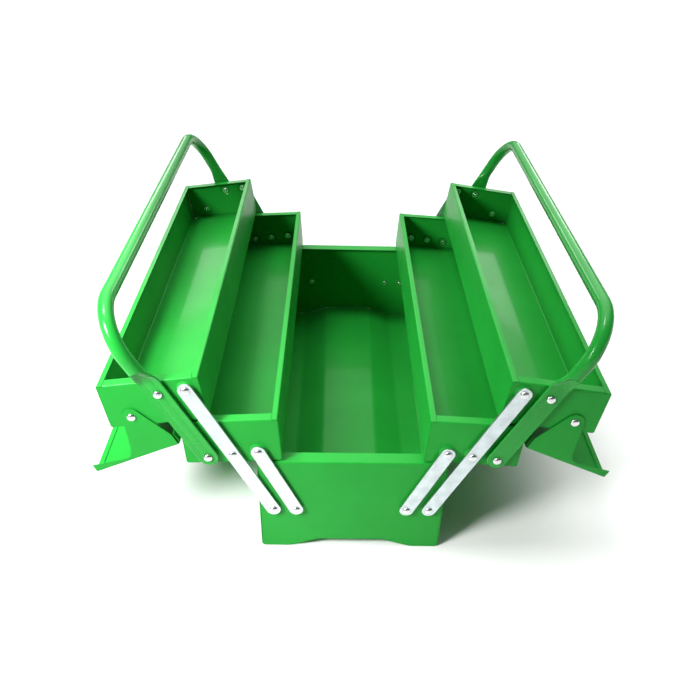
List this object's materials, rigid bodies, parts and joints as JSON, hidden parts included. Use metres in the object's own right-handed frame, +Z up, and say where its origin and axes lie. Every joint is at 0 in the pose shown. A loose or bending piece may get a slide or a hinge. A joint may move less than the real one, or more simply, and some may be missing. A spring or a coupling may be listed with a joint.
{
  "type": "cantilever toolbox",
  "caption": "Green sheet-steel cantilever toolbox with folding side trays, flat links, tube handles and hinged covers, shown open.",
  "frame": {"origin": "on the ground under the middle of the base, with both sides folded out", "axes": "+Z up, +Y along the box from the front end to the rear end, +X across it towards the right-hand trays"},
  "size_m": [0.5434, 0.5302, 0.3136],
  "materials": {
    "paint": "glossy green enamel over sheet steel",
    "links": "bright zinc plate",
    "rivets": "bright domed steel heads"
  },
  "bodies": {
    "base": {"base_body": "paint", "base_front_end": "paint", "base_rear_end": "paint", "base_right_front_long_rivet": "rivets", "base_right_front_short_rivet": "rivets", "base_right_rear_long_rivet": "rivets", "base_right_rear_short_rivet": "rivets", "base_left_front_long_rivet": "rivets", "base_left_front_short_rivet": "rivets", "base_left_rear_long_rivet": "rivets", "base_left_rear_short_rivet": "rivets"},
    "right_long_links": {"right_front_long_link": "links", "right_rear_long_link": "links"},
    "right_short_links": {"right_front_short_link": "links", "right_rear_short_link": "links"},
    "right_mid_tray": {"right_mid_tray_body": "paint", "right_mid_tray_front_end": "paint", "right_mid_tray_rear_end": "paint", "right_mid_tray_front_short_rivet": "rivets", "right_mid_tray_front_long_rivet": "rivets", "right_mid_tray_front_handle_rivet": "rivets", "right_mid_tray_rear_short_rivet": "rivets", "right_mid_tray_rear_long_rivet": "rivets", "right_mid_tray_rear_handle_rivet": "rivets"},
    "right_top_tray": {"right_top_tray_body": "paint", "right_top_tray_front_end": "paint", "right_top_tray_rear_end": "paint", "right_top_tray_front_long_rivet": "rivets", "right_top_tray_front_handle_rivet": "rivets", "right_top_tray_front_cover_rivet": "rivets", "right_top_tray_rear_long_rivet": "rivets", "right_top_tray_rear_handle_rivet": "rivets", "right_top_tray_rear_cover_rivet": "rivets"},
    "right_handle": {"right_handle": "paint"},
    "right_cover": {"right_cover": "paint"},
    "left_long_links": {"left_front_long_link": "links", "left_rear_long_link": "links"},
    "left_short_links": {"left_front_short_link": "links", "left_rear_short_link": "links"},
    "left_mid_tray": {"left_mid_tray_body": "paint", "left_mid_tray_front_end": "paint", "left_mid_tray_rear_end": "paint", "left_mid_tray_front_short_rivet": "rivets", "left_mid_tray_front_long_rivet": "rivets", "left_mid_tray_front_handle_rivet": "rivets", "left_mid_tray_rear_short_rivet": "rivets", "left_mid_tray_rear_long_rivet": "rivets", "left_mid_tray_rear_handle_rivet": "rivets"},
    "left_top_tray": {"left_top_tray_body": "paint", "left_top_tray_front_end": "paint", "left_top_tray_rear_end": "paint", "left_top_tray_front_long_rivet": "rivets", "left_top_tray_front_handle_rivet": "rivets", "left_top_tray_front_cover_rivet": "rivets", "left_top_tray_rear_long_rivet": "rivets", "left_top_tray_rear_handle_rivet": "rivets", "left_top_tray_rear_cover_rivet": "rivets"},
    "left_handle": {"left_handle": "paint"},
    "left_cover": {"left_cover": "paint"}
  },
  "joints": [
    {"name": "right_fold", "type": "hinge", "parent": "base", "child": "right_long_links", "pos_m": [0.08445, 0, 0.0622], "axis": [0, -1, 0], "range_deg": [0, 48.09]},
    {"name": "right_short_link_turn", "type": "hinge", "parent": "base", "child": "right_short_links", "pos_m": [0.06008, 0, 0.0622], "axis": [0, -1, 0], "range_deg": [0, 46.94]},
    {"name": "right_mid_tray_turn", "type": "hinge", "parent": "right_long_links", "child": "right_mid_tray", "pos_m": [0.12337, 0, 0.14182], "axis": [0, -1, 0], "range_deg": [-44.82, 0]},
    {"name": "right_top_tray_turn", "type": "hinge", "parent": "right_long_links", "child": "right_top_tray", "pos_m": [0.16365, 0, 0.22419], "axis": [0, -1, 0], "range_deg": [-40.24, 0]},
    {"name": "right_handle_turn", "type": "hinge", "parent": "right_mid_tray", "child": "right_handle", "pos_m": [0.14873, 0, 0.13839], "axis": [0, -1, 0], "range_deg": [0, 44.62]},
    {"name": "right_cover_turn", "type": "hinge", "parent": "right_top_tray", "child": "right_cover", "pos_m": [0.22062, 0, 0.18837], "axis": [0, -1, 0], "range_deg": [0, 196.5]},
    {"name": "left_fold", "type": "hinge", "parent": "base", "child": "left_long_links", "pos_m": [-0.08445, 0, 0.0622], "axis": [0, 1, 0], "range_deg": [0, 48.09]},
    {"name": "left_short_link_turn", "type": "hinge", "parent": "base", "child": "left_short_links", "pos_m": [-0.06008, 0, 0.0622], "axis": [0, 1, 0], "range_deg": [0, 46.94]},
    {"name": "left_mid_tray_turn", "type": "hinge", "parent": "left_long_links", "child": "left_mid_tray", "pos_m": [-0.12337, 0, 0.14182], "axis": [0, 1, 0], "range_deg": [-44.82, 0]},
    {"name": "left_top_tray_turn", "type": "hinge", "parent": "left_long_links", "child": "left_top_tray", "pos_m": [-0.16365, 0, 0.22419], "axis": [0, 1, 0], "range_deg": [-40.24, 0]},
    {"name": "left_handle_turn", "type": "hinge", "parent": "left_mid_tray", "child": "left_handle", "pos_m": [-0.14873, 0, 0.13839], "axis": [0, 1, 0], "range_deg": [0, 44.62]},
    {"name": "left_cover_turn", "type": "hinge", "parent": "left_top_tray", "child": "left_cover", "pos_m": [-0.22062, 0, 0.18837], "axis": [0, 1, 0], "range_deg": [0, 196.5]}
  ],
  "couplings": [
    {"joint": "right_short_link_turn", "follows": "right_fold", "ratio": 0.97499},
    {"joint": "right_mid_tray_turn", "follows": "right_fold", "ratio": -0.93096},
    {"joint": "right_top_tray_turn", "follows": "right_fold", "ratio": -0.83572},
    {"joint": "right_handle_turn", "follows": "right_fold", "ratio": 0.92693},
    {"joint": "right_cover_turn", "follows": "right_fold", "ratio": 4.0841},
    {"joint": "left_short_link_turn", "follows": "left_fold", "ratio": 0.97499},
    {"joint": "left_mid_tray_turn", "follows": "left_fold", "ratio": -0.93096},
    {"joint": "left_top_tray_turn", "follows": "left_fold", "ratio": -0.83572},
    {"joint": "left_handle_turn", "follows": "left_fold", "ratio": 0.92693},
    {"joint": "left_cover_turn", "follows": "left_fold", "ratio": 4.0841}
  ]
}
